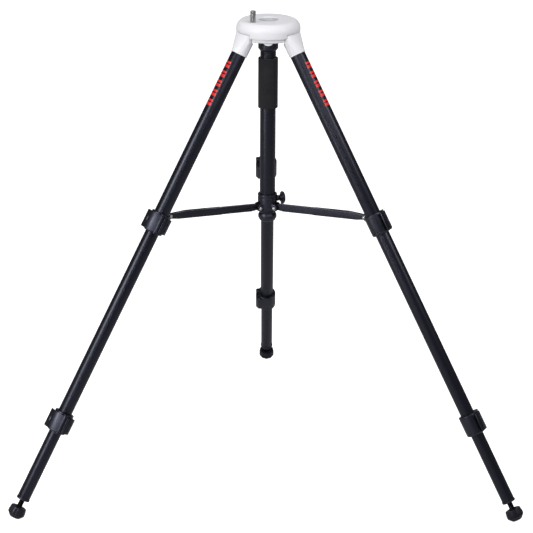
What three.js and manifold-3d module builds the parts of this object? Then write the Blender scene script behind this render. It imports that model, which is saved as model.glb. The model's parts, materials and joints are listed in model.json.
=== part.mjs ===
// A field tripod with a round mounting head, three telescoping legs with lever locks,
// a fixed centre column and a sliding spreader. Millimetres, +Z up.
// The origin is the centre of the floor of the head's recess, where an instrument seats.
import * as THREE from 'three';
import { ConvexGeometry } from 'three/addons/geometries/ConvexGeometry.js';
import { mergeVertices } from 'three/addons/utils/BufferGeometryUtils.js';
import Module from 'manifold-3d';

const wasm = await Module();
wasm.setup();

// ---- Driving dimensions. Heights are above the floor with the tripod set up. ----
const LEG_ANGLE = THREE.MathUtils.degToRad(30.08);   // between a leg and the vertical
const LEG_AZIMUTHS = { rear: 90, left: 210, right: 330 };

const HEAD_TOP = 1096.6;
const HEAD_RADIUS = 73.5;
const HEAD_FLAT_RADIUS = 56;
const HEAD_EDGE_DROP = 20;          // height of the rounded edge
const HEAD_SEAM = 1072.5;           // the plate sits on the base and the knuckles here
const HEAD_SKIRT = 1063.4;          // lower edge of the plate's outer wall
const HEAD_WALL = 6;
const BASE_BOTTOM = 1054;
const BASE_RADIUS = HEAD_RADIUS - HEAD_WALL - 0.4;
const RECESS_RADIUS = 22.0;
const RECESS_DEPTH = 12;
const PEG_RADIUS = 6.2;
const PEG_HEIGHT = 26.4;
const PEG_OFFSET = 49;              // from the head's axis
const PEG_AZIMUTH = 225;
const PEG_SOCKET_DEPTH = 9;

const HINGE_HEIGHT = 1064;
const HINGE_OFFSET = 53.6;          // from the head's axis to the hinge pin
const HINGE_PIN_RADIUS = 4;
const EYE_RADIUS = 8;
const KNUCKLE_WIDTH = 59.8;
const KNUCKLE_DROP = 12;             // the knuckle's square head reaches this far below the hinge
const SLEEVE_RADIUS = 19.4;
const SLEEVE_END = 47.3;            // along the leg from the hinge

const UPPER_RADIUS = 17.6;
const MIDDLE_RADIUS = 16.2;
const LOWER_RADIUS = 14.8;
const TUBE_WALL = 1.0;
const UPPER_TUBE = [15, 482];       // start and end, along the leg from the hinge
const MIDDLE_TUBE = [433, 990];
const LOWER_TUBE = [676, 1176];
const LOCK_UPPER = 472.7;           // centre, along the leg from the hinge
const LOCK_LOWER = 981.2;
const LOCK_LENGTH = 49;
const LOCK_RADIUS = 22.6;
const LEVER_LENGTH = 42;
const LEVER_PIVOT = [9, 24.8];        // outward and sideways from the leg's axis
const LEVER_EYE = 3.8;
const LEVER_STUB = 2;

const END_CAP = [1149, 1181];         // the plug's inner end and the lip's outer end
const END_CAP_LIP = 15.8;
const STEM = [1160, 1203];
const STEM_RADIUS = 6.3;
const FOOT_CENTRE = 1213;
const FOOT_RADIUS = 20;

const COLUMN_RADIUS = 18.05;
const COLUMN_WALL = 1.6;
const COLUMN_ENDS = [620, 1053.2];
const COLLAR_RADIUS = 23;
const COLLAR_BOTTOM = 1026.8;
const GRIP_ENDS = [889.5, 1006.7];
const GRIP_RADIUS = 22.9;
const COLUMN_CAP = [615, 634.5];
const COLUMN_CAP_RADIUS = 21.6;

const HUB_ENDS = [643, 681.5];
const HUB_EAR_HALF = 12;             // half the width of the pair of ears at each arm
const HUB_RADIUS = 22.5;
const HUB_PIVOT = [24, 649.6];      // radius and height of the arms' inner pivots
const LUG_PIVOT = [256.7, 665.6];   // radius and height of the arms' outer pivots
const PIVOT_PIN_RADIUS = 2.5;
const RIVET_RADIUS = 4.4;
const ARM_TOP = 10;                 // above the line between the two pivots
const ARM_BOTTOM = 5;               // below that line, round the pivots
const ARM_BELLY = 7.6;              // below that line, between the pivots
const ARM_WIDTH = 10;
const ARM_SLOT = 6.8;
const TONGUE_WIDTH = 6;
const TONGUE_LENGTH = 140;
const FORK_START = 100;             // from the inner pivot
const KNOB_AZIMUTH = 12;
const KNOB_HEIGHT = 668;
const KNOB_RADIUS = 15.5;
const KNOB_ENDS = [29.5, 41.5];         // from the column's axis

const GAP = 0.35;                   // between pieces that touch or slide
const SIDES = 28;
const HEAD_SIDES = 48;
const SMALL_SIDES = 14;

// ---- Materials ----
function paint(colour, roughness, metalness) {
  return new THREE.MeshStandardMaterial({ color: colour, roughness, metalness });
}
const WHITE_PAINT = paint(0xe9e9ee, 0.38, 0.0);
const BLACK_ALUMINIUM = paint(0x1c1d22, 0.35, 0.6);
const BLACK_PLASTIC = paint(0x18181b, 0.5, 0.0);
const FOAM = paint(0x222225, 0.9, 0.0);
const STEEL = paint(0xb9babd, 0.3, 1.0);
const RUBBER = paint(0x161617, 0.8, 0.0);

// ---- Solids ----
function solid(geometry) {
  const bare = geometry.index ? geometry.toNonIndexed() : geometry.clone();
  bare.deleteAttribute('normal');
  bare.deleteAttribute('uv');
  const merged = mergeVertices(bare, 1e-4);
  return new wasm.Manifold(new wasm.Mesh({
    numProp: 3,
    vertProperties: new Float32Array(merged.attributes.position.array),
    triVerts: new Uint32Array(merged.index.array),
  }));
}

function geometryOf(manifold) {
  const mesh = manifold.getMesh();
  const geometry = new THREE.BufferGeometry();
  geometry.setAttribute('position', new THREE.BufferAttribute(mesh.vertProperties, 3));
  geometry.setIndex(new THREE.BufferAttribute(mesh.triVerts, 1));
  geometry.computeVertexNormals();
  return geometry;
}

// A turned solid about Z. The profile is a list of [radius, height], anticlockwise.
function turned(profile, sides = SIDES) {
  const points = profile.map(([radius, height]) => new THREE.Vector2(radius, height));
  points.push(points[0].clone());
  return solid(new THREE.LatheGeometry(points, sides).rotateX(Math.PI / 2));
}

// A round bar along Z between two heights.
function bar(radius, low, high, sides = SIDES) {
  return turned([[0, low], [radius, low], [radius, high], [0, high]], sides);
}

// A round tube along Z between two heights.
function tube(inner, outer, low, high, sides = SIDES) {
  return turned([[inner, low], [outer, low], [outer, high], [inner, high]], sides);
}

function box(lows, highs) {
  const size = highs.map((high, i) => high - lows[i]);
  const middle = highs.map((high, i) => (high + lows[i]) / 2);
  return solid(new THREE.BoxGeometry(...size).translate(...middle));
}

// A flat outline in XY, from one height to another, with its long edges bevelled.
function plate(shape, low, high, bevel = 0) {
  const geometry = new THREE.ExtrudeGeometry(shape, {
    depth: high - low - 2 * bevel,
    bevelEnabled: bevel > 0,
    bevelThickness: bevel,
    bevelSize: bevel,
    bevelOffset: -bevel,
    bevelSegments: 1,
    curveSegments: 6,
  });
  return solid(geometry.translate(0, 0, low + bevel));
}

// The same outline standing up: the outline's x stays X, its y becomes Z, and it is
// centred on Y.
function standingPlate(shape, width, bevel = 0) {
  return plate(shape, -width / 2, width / 2, bevel).rotate([90, 0, 0]);
}

function outline(points) {
  return new THREE.Shape(points.map(([x, y]) => new THREE.Vector2(x, y)));
}

function crossBar(radius, low, high, x, z, sides = SMALL_SIDES) {
  return bar(radius, low, high, sides).rotate([-90, 0, 0]).translate([x, 0, z]);
}

// ---- Scene graph ----
function piece(name, manifold, material) {
  const mesh = new THREE.Mesh(geometryOf(manifold), material);
  mesh.name = name;
  return mesh;
}

function turnedGroup(azimuthDegrees) {
  const group = new THREE.Group();
  group.rotation.z = THREE.MathUtils.degToRad(azimuthDegrees);
  return group;
}

// ---- Head ----
function slotAt(azimuth, cutter) {
  return cutter.rotate([0, 0, azimuth]);
}

function knuckleSlot(azimuth, top) {
  const slotHalf = KNUCKLE_WIDTH / 2 + GAP + 0.15;
  const slotBack = HINGE_OFFSET - EYE_RADIUS - 1;
  return slotAt(azimuth, box([slotBack, -slotHalf, BASE_BOTTOM - 1], [90, slotHalf, top]));
}

// The top casting: a flat face with a rounded edge, and a wall that hides the base.
function headPlate() {
  const edge = HEAD_RADIUS - HEAD_FLAT_RADIUS;
  const wall = HEAD_RADIUS - HEAD_WALL;
  const profile = [
    [0, HEAD_SEAM], [wall, HEAD_SEAM], [wall, HEAD_SKIRT], [HEAD_RADIUS - 2.4, HEAD_SKIRT],
    [HEAD_RADIUS - 0.8, HEAD_SKIRT + 2],
  ];
  for (let step = 0; step <= 6; step += 1) {
    const turn = (step / 6) * (Math.PI / 2);
    const radius = HEAD_FLAT_RADIUS + edge * Math.cos(turn);
    profile.push([radius, HEAD_TOP - HEAD_EDGE_DROP * (1 - Math.sin(turn))]);
  }
  profile.push([0, HEAD_TOP]);
  const rim = 1.2;
  const floor = HEAD_TOP - RECESS_DEPTH;
  const recess = turned([
    [0, floor], [RECESS_RADIUS, floor], [RECESS_RADIUS, HEAD_TOP - rim],
    [RECESS_RADIUS + 2 * rim, HEAD_TOP + rim], [0, HEAD_TOP + rim],
  ]);
  const socket = bar(PEG_RADIUS + GAP, HEAD_TOP - PEG_SOCKET_DEPTH, HEAD_TOP + 1, SMALL_SIDES)
    .translate([PEG_OFFSET, 0, 0]);
  let plateBody = turned(profile, HEAD_SIDES).subtract(recess);
  plateBody = plateBody.subtract(slotAt(PEG_AZIMUTH, socket));
  for (const azimuth of Object.values(LEG_AZIMUTHS)) {
    plateBody = plateBody.subtract(knuckleSlot(azimuth, HEAD_SEAM));
  }
  return plateBody;
}

// The lower casting carries the hinge pins on both sides of each slot.
function headBase() {
  const top = HEAD_SEAM - GAP;
  let base = turned([
    [0, BASE_BOTTOM], [BASE_RADIUS - 4, BASE_BOTTOM], [BASE_RADIUS - 1, BASE_BOTTOM + 1.6],
    [BASE_RADIUS, BASE_BOTTOM + 4], [BASE_RADIUS, top], [0, top],
  ], HEAD_SIDES);
  for (const azimuth of Object.values(LEG_AZIMUTHS)) {
    const bore = crossBar(HINGE_PIN_RADIUS + GAP, -34, 34, HINGE_OFFSET, HINGE_HEIGHT);
    base = base.subtract(knuckleSlot(azimuth, HEAD_SEAM + 1)).subtract(slotAt(azimuth, bore));
  }
  return base;
}

function peg() {
  const low = HEAD_TOP - PEG_SOCKET_DEPTH + GAP;
  const high = HEAD_TOP + PEG_HEIGHT;
  return turned([
    [0, low], [PEG_RADIUS, low], [PEG_RADIUS, high - 1.2], [PEG_RADIUS - 1.2, high], [0, high],
  ], SMALL_SIDES);
}

// A rounded boss that hangs under the base between the two front legs.
function underBoss() {
  const shape = outline([
    [-9.8, 0], [-9.2, -1.5], [-7.4, -3.4], [-4.6, -4.7], [-1.6, -5.2], [1.6, -5.2], [4.6, -4.7],
    [7.4, -3.4], [9.2, -1.5], [9.8, 0],
  ]);
  return standingPlate(shape, 12, 0.8).translate([0, -57, BASE_BOTTOM - GAP]);
}

function addHead(tripod) {
  tripod.add(piece('head_plate', headPlate(), WHITE_PAINT));
  tripod.add(piece('head_base', headBase(), WHITE_PAINT));
  tripod.add(piece('base_boss', underBoss(), WHITE_PAINT));
  const pegGroup = turnedGroup(PEG_AZIMUTH);
  pegGroup.add(piece('azimuth_peg', peg().translate([PEG_OFFSET, 0, 0]), STEEL));
  tripod.add(pegGroup);
  for (const [side, azimuth] of Object.entries(LEG_AZIMUTHS)) {
    const pinGroup = turnedGroup(azimuth);
    const pin = crossBar(HINGE_PIN_RADIUS, -32, 32, HINGE_OFFSET, HINGE_HEIGHT);
    pinGroup.add(piece(`hinge_pin_${side}`, pin, STEEL));
    tripod.add(pinGroup);
  }
}

// ---- Centre column ----
function columnCollar() {
  const top = BASE_BOTTOM - GAP;
  const inner = COLUMN_RADIUS + GAP;
  return turned([
    [inner, COLLAR_BOTTOM - 2], [inner + 0.8, COLLAR_BOTTOM - 2], [COLLAR_RADIUS, COLLAR_BOTTOM + 2.6],
    [COLLAR_RADIUS, top], [inner, top],
  ]);
}

function grip() {
  const [low, high] = GRIP_ENDS;
  const inner = COLUMN_RADIUS + GAP;
  const round = GRIP_RADIUS - inner - 1;
  const profile = [[inner, low], [inner + 1, low]];
  for (let step = 1; step <= 3; step += 1) {
    const turn = (step / 3) * (Math.PI / 2);
    profile.push([inner + 1 + round * Math.sin(turn), low + round * (1 - Math.cos(turn))]);
  }
  for (let step = 3; step >= 1; step -= 1) {
    const turn = (step / 3) * (Math.PI / 2);
    profile.push([inner + 1 + round * Math.sin(turn), high - round * (1 - Math.cos(turn))]);
  }
  profile.push([inner + 1, high], [inner, high]);
  return turned(profile);
}

function columnCap() {
  const [low, high] = COLUMN_CAP;
  const inner = COLUMN_RADIUS + GAP;
  const floor = COLUMN_ENDS[0] - GAP;
  return turned([
    [0, low], [15.5, low], [18.2, low + 2.2], [COLUMN_CAP_RADIUS, low + 9],
    [COLUMN_CAP_RADIUS, high - 4.5], [inner + 0.8, high], [inner, high], [inner, floor], [0, floor],
  ]);
}

function addColumn(tripod) {
  const column = tube(COLUMN_RADIUS - COLUMN_WALL, COLUMN_RADIUS, ...COLUMN_ENDS);
  tripod.add(piece('column_tube', column, BLACK_ALUMINIUM));
  tripod.add(piece('column_collar', columnCollar(), BLACK_PLASTIC));
  tripod.add(piece('column_grip', grip(), FOAM));
  tripod.add(piece('column_cap', columnCap(), BLACK_PLASTIC));
}

// ---- Spreader ----
function hub() {
  const [low, high] = HUB_ENDS;
  const inner = COLUMN_RADIUS + GAP;
  const waist = HUB_RADIUS - 1.4;
  let body = turned([
    [inner, low], [inner + 0.8, low], [waist, low + 6.5], [waist, HUB_PIVOT[1] + 7],
    [HUB_RADIUS, HUB_PIVOT[1] + 9], [HUB_RADIUS, high - 1.5], [HUB_RADIUS - 1.5, high],
    [inner, high],
  ]);
  const bore = bar(inner, low - 1, high + 1);
  const [pivotRadius, pivotHeight] = HUB_PIVOT;
  const earRound = 6.6;
  const earShape = outline([
    [inner - 3, pivotHeight - earRound], [pivotRadius, pivotHeight - earRound],
    [pivotRadius + 4.6, pivotHeight - 4.7], [pivotRadius + earRound, pivotHeight],
    [pivotRadius + 5.6, pivotHeight + 5.5], [pivotRadius + 2, pivotHeight + 9.5],
    [pivotRadius - 4, pivotHeight + 11], [inner - 3, pivotHeight + 11],
  ]);
  for (const azimuth of Object.values(LEG_AZIMUTHS)) {
    body = body.add(slotAt(azimuth, standingPlate(earShape, 2 * HUB_EAR_HALF, 1.5)));
  }
  for (const azimuth of Object.values(LEG_AZIMUTHS)) {
    const slot = box([COLUMN_RADIUS + 0.8, -ARM_SLOT / 2, low - 1],
      [50, ARM_SLOT / 2, HUB_PIVOT[1] + 16]);
    const hole = crossBar(PIVOT_PIN_RADIUS + 0.1, -20, 20, ...HUB_PIVOT);
    body = body.subtract(slotAt(azimuth, slot)).subtract(slotAt(azimuth, hole));
  }
  const knobBoss = bar(7, inner + 1, KNOB_ENDS[0] - GAP, SMALL_SIDES).rotate([0, 90, 0])
    .translate([0, 0, KNOB_HEIGHT]);
  return body.add(slotAt(KNOB_AZIMUTH, knobBoss)).subtract(bore);
}

// A round knob with shallow finger flutes, turned about its own axis.
function knob() {
  const [low, high] = KNOB_ENDS;
  let body = turned([
    [0, low], [8, low], [9, low + 2.5], [KNOB_RADIUS - 1, low + 3], [KNOB_RADIUS, low + 4],
    [KNOB_RADIUS, high - 5], [KNOB_RADIUS - 2, high - 1.8], [KNOB_RADIUS - 6, high], [0, high],
  ]);
  const flutes = 6;
  for (let index = 0; index < flutes; index += 1) {
    const flute = bar(4, low + 2, high + 1, 12).translate([KNOB_RADIUS + 1.8, 0, 0]);
    body = body.subtract(flute.rotate([0, 0, (360 * index) / flutes]));
  }
  return body.rotate([0, 90, 0]).translate([0, 0, KNOB_HEIGHT]);
}

// A pivot pin with a rivet head at each end. It lies across the arm.
function pivotPin(half, x, z) {
  const headThickness = 1.8;
  return crossBar(PIVOT_PIN_RADIUS, -half - 1, half + 1, x, z)
    .add(crossBar(RIVET_RADIUS, half, half + headThickness, x, z))
    .add(crossBar(RIVET_RADIUS, -half - headThickness, -half, x, z));
}

function armLength() {
  return Math.hypot(LUG_PIVOT[0] - HUB_PIVOT[0], LUG_PIVOT[1] - HUB_PIVOT[1]);
}

function armSlope() {
  return Math.atan2(LUG_PIVOT[1] - HUB_PIVOT[1], LUG_PIVOT[0] - HUB_PIVOT[0]);
}

// The tongue is the arm's inner half. Its pivot on the hub is at x = 0, z = 0.
function armTongue() {
  const eye = ARM_BOTTOM - 0.3;
  const shape = new THREE.Shape();
  shape.absarc(0, 0, eye, 0.6 * Math.PI, 1.5 * Math.PI, false);
  shape.lineTo(20, -ARM_BELLY);
  shape.lineTo(TONGUE_LENGTH, -ARM_BELLY);
  shape.lineTo(TONGUE_LENGTH, ARM_TOP);
  shape.lineTo(10, ARM_TOP);
  const hole = crossBar(PIVOT_PIN_RADIUS + GAP, -10, 10, 0, 0);
  return standingPlate(shape, TONGUE_WIDTH, 0.6).subtract(hole);
}

// The fork is the arm's outer half. The tongue runs between its two cheeks.
function armFork() {
  const length = armLength();
  const eye = ARM_BOTTOM + 0.6;
  const rise = 38;
  const shape = new THREE.Shape();
  shape.absarc(length, 0, eye, 1.5 * Math.PI, 2.4 * Math.PI, false);
  shape.lineTo(length - rise, ARM_TOP);
  shape.lineTo(FORK_START + 3, ARM_TOP);
  shape.lineTo(FORK_START, ARM_TOP - 3);
  shape.lineTo(FORK_START, -ARM_BELLY);
  shape.lineTo(length - 20, -ARM_BELLY);
  const halfSlot = ARM_SLOT / 2;
  const tongueSlot = box([FORK_START - 1, -halfSlot, -20], [length - rise, halfSlot, 20]);
  const lugSlot = box([length - 16, -halfSlot, -20], [length + 20, halfSlot, 20]);
  const hole = crossBar(PIVOT_PIN_RADIUS + GAP, -10, 10, length, 0);
  return standingPlate(shape, ARM_WIDTH, 1).subtract(tongueSlot).subtract(lugSlot).subtract(hole);
}

function addSpreader(tripod) {
  tripod.add(piece('spreader_hub', hub(), BLACK_PLASTIC));
  const knobGroup = turnedGroup(KNOB_AZIMUTH);
  knobGroup.add(piece('hub_knob', knob(), BLACK_PLASTIC));
  tripod.add(knobGroup);
  for (const [side, azimuth] of Object.entries(LEG_AZIMUTHS)) {
    const armGroup = turnedGroup(azimuth);
    const hubPin = pivotPin(HUB_EAR_HALF + GAP, ...HUB_PIVOT);
    const lugPin = pivotPin(ARM_WIDTH / 2 + GAP, ...LUG_PIVOT);
    armGroup.add(piece(`hub_pin_${side}`, hubPin, STEEL));
    armGroup.add(piece(`lug_pin_${side}`, lugPin, STEEL));
    const slope = new THREE.Group();
    slope.position.set(HUB_PIVOT[0], 0, HUB_PIVOT[1]);
    slope.rotation.y = -armSlope();
    slope.add(piece(`arm_tongue_${side}`, armTongue(), BLACK_ALUMINIUM));
    slope.add(piece(`arm_fork_${side}`, armFork(), BLACK_ALUMINIUM));
    armGroup.add(slope);
    tripod.add(armGroup);
  }
}

// ---- Legs. In a leg's own frame the hinge is at the origin, the leg runs down -Z,
// +X points outward and +Y sideways. Distances along the leg are given as positive. ----
// The casting that joins a leg to the head. Its square head is flush with the head's side wall
// and swings on the hinge pin; below, it tapers to a round sleeve over the tube.
function knuckle() {
  const halfWidth = KNUCKLE_WIDTH / 2;
  const seam = HEAD_SEAM - GAP - HINGE_HEIGHT;
  const inLegFrame = (outward, sideways, up) => new THREE.Vector3(
    outward * Math.cos(LEG_ANGLE) + up * Math.sin(LEG_ANGLE),
    sideways,
    -outward * Math.sin(LEG_ANGLE) + up * Math.cos(LEG_ANGLE),
  );
  const points = [];
  const steps = 8;
  for (const up of [seam, -KNUCKLE_DROP]) {
    for (let step = 0; step <= steps; step += 1) {
      const sideways = halfWidth * (2 * step / steps - 1);
      const outward = Math.sqrt(HEAD_RADIUS ** 2 - sideways ** 2) - HINGE_OFFSET;
      points.push(inLegFrame(outward, sideways, up));
    }
  }
  for (const sideways of [-halfWidth, halfWidth]) {
    points.push(inLegFrame(0, sideways, seam), inLegFrame(4, sideways, -KNUCKLE_DROP));
  }
  const taperEnd = -SLEEVE_END + 5;
  for (let index = 0; index < SIDES; index += 1) {
    const turn = (2 * Math.PI * index) / SIDES;
    const radius = SLEEVE_RADIUS - 0.2;
    points.push(new THREE.Vector3(radius * Math.cos(turn), radius * Math.sin(turn), taperEnd));
  }
  const taper = solid(new ConvexGeometry(points));
  const eye = crossBar(EYE_RADIUS, -halfWidth, halfWidth, 0, 0, 24);
  const neck = box([-EYE_RADIUS, -SLEEVE_RADIUS + 3, -14], [5, SLEEVE_RADIUS - 3, 0]);
  const sleeve = turned([
    [0, -SLEEVE_END], [SLEEVE_RADIUS - 0.8, -SLEEVE_END], [SLEEVE_RADIUS, -SLEEVE_END + 0.8],
    [SLEEVE_RADIUS, -13], [SLEEVE_RADIUS - 2, -11], [0, -11],
  ]);
  const sleeveBore = bar(UPPER_RADIUS + GAP, -SLEEVE_END - 1, -UPPER_TUBE[0] + GAP);
  const pinBore = crossBar(HINGE_PIN_RADIUS + GAP, -40, 40, 0, 0);
  return taper.add(eye).add(neck).add(sleeve).subtract(sleeveBore).subtract(pinBore);
}

function legTube(radius, [start, end]) {
  return tube(radius - TUBE_WALL, radius, -end, -start);
}

// The clamp block on the lock's +Y side, beside the lever's hinge.
function clampBlock(low, high) {
  const shape = outline([
    [4, 12], [4, 27.6], [2.6, 29], [-11, 29], [-13.5, 28], [-19.5, 22.6], [-20.6, 20.5], [-20.6, 13],
    [-21, 8], [-12, 8],
  ]);
  return plate(shape, low, high, 1);
}

// The ears that hold the lever's stubs, above and below it.
function lockEar(low, high) {
  const shape = outline([
    [2, 12], [14, 15], [14.6, 22], [14, 25.8], [11.5, 28.4], [9, 28.9], [2, 28.9],
  ]);
  return plate(shape, low, high, 0.6);
}

function lockBody(centre, upperTubeRadius, lowerTubeRadius, seat) {
  const low = -centre - LOCK_LENGTH / 2;
  const high = -centre + LOCK_LENGTH / 2;
  const leverHalf = LEVER_LENGTH / 2 + GAP;
  const collar = turned([
    [0, low], [LOCK_RADIUS - 2.2, low], [LOCK_RADIUS, low + 3.2], [LOCK_RADIUS, high - 1],
    [LOCK_RADIUS - 1, high], [0, high],
  ]);
  const bore = bar(upperTubeRadius + GAP, -seat - GAP, high + 1)
    .add(bar(lowerTubeRadius + GAP, low - 1, high));
  const slit = box([-4.5, 12, low - 1], [-3, 40, high + 1]);
  const stubBore = bar(LEVER_STUB + GAP, low + 1, high - 1, SMALL_SIDES).translate([...LEVER_PIVOT, 0]);
  const leverRoom = bar(LEVER_EYE + 0.7, -centre - leverHalf, -centre + leverHalf, 20)
    .translate([...LEVER_PIVOT, 0]);
  return collar
    .add(clampBlock(low + 5.5, high - 6))
    .add(lockEar(low, -centre - leverHalf))
    .add(lockEar(-centre + leverHalf, high))
    .subtract(bore).subtract(slit).subtract(stubBore).subtract(leverRoom);
}

// The lug that carries an arm's outer pivot. It stands on the upper lock's inner side.
function armLug() {
  const offset = hingeToLug();
  const shape = new THREE.Shape();
  shape.absarc(offset.across, offset.along, ARM_BOTTOM + 0.6, 0.1 * Math.PI, 1.0 * Math.PI, false);
  shape.lineTo(-28, -LOCK_UPPER + 20);
  shape.lineTo(-20, -LOCK_UPPER + 6);
  shape.lineTo(-UPPER_RADIUS - 0.8, -LOCK_UPPER + 14);
  shape.lineTo(-UPPER_RADIUS - 0.8, -LOCK_UPPER + 26);
  const hole = crossBar(PIVOT_PIN_RADIUS + 0.1, -20, 20, offset.across, offset.along);
  const room = crossBar(ARM_BOTTOM + 1.4, -20, 20, offset.across, offset.along, SIDES);
  return { body: standingPlate(shape, TONGUE_WIDTH), hole, room };
}

// Where the outer arm pivot lies in the leg's frame.
function hingeToLug() {
  const outward = LUG_PIVOT[0] - HINGE_OFFSET;
  const up = LUG_PIVOT[1] - HINGE_HEIGHT;
  return {
    across: outward * Math.cos(LEG_ANGLE) + up * Math.sin(LEG_ANGLE),
    along: -outward * Math.sin(LEG_ANGLE) + up * Math.cos(LEG_ANGLE),
  };
}

function upperLock() {
  const lug = armLug();
  const bore = bar(UPPER_RADIUS + GAP, -UPPER_TUBE[1], -LOCK_UPPER + 60);
  return lockBody(LOCK_UPPER, UPPER_RADIUS, MIDDLE_RADIUS, UPPER_TUBE[1])
    .subtract(lug.room).add(lug.body.subtract(bore)).subtract(lug.hole);
}

function lowerLock() {
  return lockBody(LOCK_LOWER, MIDDLE_RADIUS, LOWER_RADIUS, MIDDLE_TUBE[1]);
}

// The lever is a shell round the outer side of the lock. It swings open about its stubs, and
// its free end stands off the collar to give a finger hold.
function lever(centre) {
  const half = LEVER_LENGTH / 2;
  const shape = outline([
    [9, 21.6], [11.6, 20.1], [14.9, 17.8], [20, 11.6], [22.5, 5.4], [23.2, 0], [23.6, -5], [24.2, -11.2],
    [26, -14.6], [28.4, -13.8], [28.9, -6], [28.4, 0.5], [26.9, 7.2], [23.9, 13.8], [19.4, 19.4],
    [14.4, 24.4], [10, 28.3],
  ]);
  const eye = bar(LEVER_EYE, -half, half, 20).translate([...LEVER_PIVOT, 0]);
  const stub = bar(LEVER_STUB, -half - 2, half + 2, SMALL_SIDES).translate([...LEVER_PIVOT, 0]);
  return plate(shape, -half, half, 0.8).add(eye).add(stub).translate([0, 0, -centre]);
}

function endCap() {
  const [start, end] = END_CAP;
  const plug = LOWER_RADIUS - TUBE_WALL - GAP;
  const seat = -LOWER_TUBE[1] - GAP;
  const body = turned([
    [0, -end], [END_CAP_LIP - 1, -end], [END_CAP_LIP, -end + 1], [END_CAP_LIP, seat - 0.5],
    [END_CAP_LIP - 0.5, seat], [plug, seat], [plug, -start - 1], [plug - 1, -start], [0, -start],
  ]);
  return body.subtract(bar(STEM_RADIUS + GAP, -end - 1, -start + 1));
}

function stem() {
  return turned([
    [0, -STEM[1]], [STEM_RADIUS - 1, -STEM[1]], [STEM_RADIUS, -STEM[1] + 1],
    [STEM_RADIUS, -STEM[0] - 1], [STEM_RADIUS - 1, -STEM[0]], [0, -STEM[0]],
  ], SMALL_SIDES);
}

function foot() {
  const body = turned([
    [0, -14], [9, -13.6], [11.6, -12.8], [FOOT_RADIUS - 0.6, -5.2], [FOOT_RADIUS, -3.6], [FOOT_RADIUS, 1],
    [FOOT_RADIUS - 1.6, 12], [FOOT_RADIUS - 3, 13.4], [0, 13.4],
  ]);
  const socket = bar(STEM_RADIUS + GAP, FOOT_CENTRE - STEM[1] - GAP, 20, SMALL_SIDES);
  return body.subtract(socket).translate([0, 0, -FOOT_CENTRE]);
}

function addLeg(tripod, side, azimuth) {
  const leg = new THREE.Group();
  leg.position.set(HINGE_OFFSET, 0, HINGE_HEIGHT);
  leg.rotation.y = -LEG_ANGLE;
  leg.add(piece(`knuckle_${side}`, knuckle(), WHITE_PAINT));
  leg.add(piece(`upper_tube_${side}`, legTube(UPPER_RADIUS, UPPER_TUBE), BLACK_ALUMINIUM));
  leg.add(piece(`upper_lock_${side}`, upperLock(), BLACK_PLASTIC));
  leg.add(piece(`upper_lever_${side}`, lever(LOCK_UPPER), BLACK_PLASTIC));
  leg.add(piece(`middle_tube_${side}`, legTube(MIDDLE_RADIUS, MIDDLE_TUBE), BLACK_ALUMINIUM));
  leg.add(piece(`lower_lock_${side}`, lowerLock(), BLACK_PLASTIC));
  leg.add(piece(`lower_lever_${side}`, lever(LOCK_LOWER), BLACK_PLASTIC));
  leg.add(piece(`lower_tube_${side}`, legTube(LOWER_RADIUS, LOWER_TUBE), BLACK_ALUMINIUM));
  leg.add(piece(`end_cap_${side}`, endCap(), BLACK_PLASTIC));
  leg.add(piece(`foot_stem_${side}`, stem(), STEEL));
  leg.add(piece(`foot_${side}`, foot(), RUBBER));
  const legGroup = turnedGroup(azimuth);
  legGroup.add(leg);
  tripod.add(legGroup);
}

const tripod = new THREE.Group();
addHead(tripod);
addColumn(tripod);
addSpreader(tripod);
for (const [side, azimuth] of Object.entries(LEG_AZIMUTHS)) {
  addLeg(tripod, side, azimuth);
}
tripod.position.z = -(HEAD_TOP - RECESS_DEPTH);

export default tripod;
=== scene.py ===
"""The looks of the field tripod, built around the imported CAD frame.

Lengths are in millimetres inside the shape functions and become metres when a mesh is made. The
room, the lights and the camera are placed in metres.
Heights of the head, column and hub are above the floor; a leg's own frame has its hinge at
the origin, +Z up the leg, +X outward and +Y sideways, so distances down the leg are negative Z.
"""
import json
import math

import bmesh
import bpy
from mathutils import Matrix, Vector


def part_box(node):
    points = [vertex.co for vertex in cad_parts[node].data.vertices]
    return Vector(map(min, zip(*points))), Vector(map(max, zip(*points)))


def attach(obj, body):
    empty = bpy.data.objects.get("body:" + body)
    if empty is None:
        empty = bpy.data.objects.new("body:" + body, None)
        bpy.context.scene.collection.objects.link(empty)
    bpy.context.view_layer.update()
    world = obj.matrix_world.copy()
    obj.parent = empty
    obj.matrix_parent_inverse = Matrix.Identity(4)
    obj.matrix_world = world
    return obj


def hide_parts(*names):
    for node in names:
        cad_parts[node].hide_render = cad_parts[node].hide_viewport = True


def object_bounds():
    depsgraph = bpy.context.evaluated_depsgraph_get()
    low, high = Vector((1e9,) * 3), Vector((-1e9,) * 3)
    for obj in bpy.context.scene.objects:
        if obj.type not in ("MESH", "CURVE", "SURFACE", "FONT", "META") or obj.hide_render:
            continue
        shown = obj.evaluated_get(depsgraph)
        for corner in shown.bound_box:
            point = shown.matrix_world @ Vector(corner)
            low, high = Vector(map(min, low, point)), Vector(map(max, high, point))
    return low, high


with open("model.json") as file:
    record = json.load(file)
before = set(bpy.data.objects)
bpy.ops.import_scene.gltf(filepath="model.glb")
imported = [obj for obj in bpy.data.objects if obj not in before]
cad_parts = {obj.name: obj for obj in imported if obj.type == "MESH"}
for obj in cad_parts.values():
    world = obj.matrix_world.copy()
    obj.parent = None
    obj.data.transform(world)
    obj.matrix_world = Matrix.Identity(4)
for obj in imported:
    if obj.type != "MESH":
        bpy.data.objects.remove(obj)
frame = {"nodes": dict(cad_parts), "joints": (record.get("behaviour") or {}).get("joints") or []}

CAD_LOW, CAD_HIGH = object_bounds()

MM = 0.001
SIDES = ("rear", "left", "right")
FINE = 96          # facets round a tube or a casting

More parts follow.
